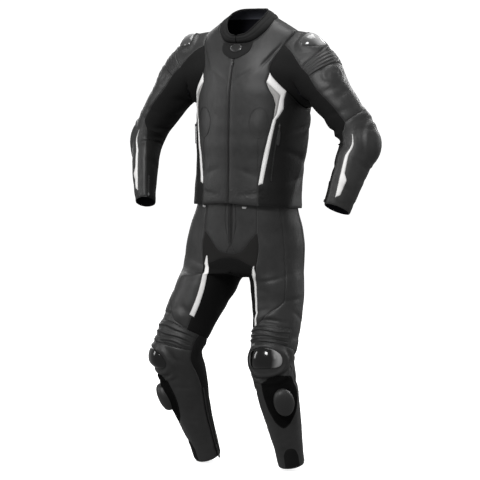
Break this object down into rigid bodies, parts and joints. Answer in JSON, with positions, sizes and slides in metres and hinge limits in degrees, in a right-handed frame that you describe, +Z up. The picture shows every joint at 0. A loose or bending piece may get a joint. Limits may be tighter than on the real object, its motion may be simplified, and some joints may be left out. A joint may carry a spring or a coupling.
{
  "type": "motorcycle race suit",
  "caption": "Two-piece leather motorcycle race suit, filled out as worn: zip jacket with bent sleeves and trousers with knee armour, open at neck, cuffs and hems.",
  "frame": {"origin": "middle of the body at the height where the wearer's shoulders carry the jacket", "axes": "+Z up, the front faces -Y, the wearer's left is +X"},
  "size_m": [0.9046, 0.3695, 1.444],
  "materials": {
    "leather": "satin full-grain cowhide",
    "white_leather": "smooth coated leather",
    "grey_leather": "smooth coated leather",
    "ribbed_leather": "satin, gathered in ribs",
    "neoprene": "matte padded knit",
    "stretch": "matte stretch weave",
    "zip": "woven tape and moulded teeth",
    "hook_tape": "hook tape",
    "hard_shell": "gloss moulded shell",
    "rubber": "matte moulded"
  },
  "bodies": {
    "suit": {"calf_L": "stretch", "calf_R": "stretch", "calf_zip_L": "zip", "calf_zip_R": "zip", "chest_insert_L": "white_leather", "chest_insert_R": "white_leather", "chest_wedge_L": "grey_leather", "chest_wedge_R": "grey_leather", "collar": "neoprene", "crotch_gusset": "stretch", "cuff_zip_L": "zip", "cuff_zip_R": "zip", "fly_front": "leather", "fly_zip": "zip", "forearm_L": "leather", "forearm_R": "leather", "forearm_stripe_L": "white_leather", "forearm_stripe_R": "white_leather", "front_zip": "zip", "inner_thighs": "stretch", "jacket_back": "leather", "jacket_front_L": "leather", "jacket_front_R": "leather", "jacket_side_L": "leather", "jacket_side_R": "leather", "knee_cap_L": "hard_shell", "knee_cap_R": "hard_shell", "knee_panel_L": "hook_tape", "knee_panel_R": "hook_tape", "knee_puck_L": "rubber", "knee_puck_R": "rubber", "knee_rib_L": "ribbed_leather", "knee_rib_R": "ribbed_leather", "pocket_zip_L": "zip", "pocket_zip_R": "zip", "seat_L": "leather", "seat_R": "leather", "shin_L": "leather", "shin_R": "leather", "shoulder_slider_L": "hard_shell", "shoulder_slider_R": "hard_shell", "sleeve_cap_L": "leather", "sleeve_cap_R": "leather", "sleeve_rib_L": "ribbed_leather", "sleeve_rib_R": "ribbed_leather", "sleeve_stretch_L": "stretch", "sleeve_stretch_R": "stretch", "thigh_front_L": "leather", "thigh_front_R": "leather", "thigh_side_L": "leather", "thigh_side_R": "leather", "thigh_stripe_L": "white_leather", "thigh_stripe_R": "white_leather", "throat_patch": "neoprene", "upper_arm_L": "leather", "upper_arm_R": "leather"},
    "calf_pull_L": {"calf_pull_L": "rubber"},
    "calf_pull_R": {"calf_pull_R": "rubber"},
    "pocket_pull_L": {"pocket_pull_L": "rubber"},
    "pocket_pull_R": {"pocket_pull_R": "rubber"}
  },
  "joints": [
    {"name": "calf_pull_L_hinge", "type": "hinge", "parent": "suit", "child": "calf_pull_L", "pos_m": [0.08196, 0.02148, -1.33065], "axis": [-0.0437, 0.9611, 0.2727], "range_deg": [0, 150]},
    {"name": "calf_pull_R_hinge", "type": "hinge", "parent": "suit", "child": "calf_pull_R", "pos_m": [-0.12433, -0.00331, -1.32896], "axis": [-0.1088, -0.9259, -0.3618], "range_deg": [0, 150]},
    {"name": "pocket_pull_L_hinge", "type": "hinge", "parent": "suit", "child": "pocket_pull_L", "pos_m": [0.15523, -0.0821, -0.29092], "axis": [-0.6299, -0.7692, 0.1073], "range_deg": [0, 150]},
    {"name": "pocket_pull_R_hinge", "type": "hinge", "parent": "suit", "child": "pocket_pull_R", "pos_m": [-0.15563, -0.08243, -0.29091], "axis": [-0.6299, 0.7692, -0.1073], "range_deg": [0, 150]}
  ]
}
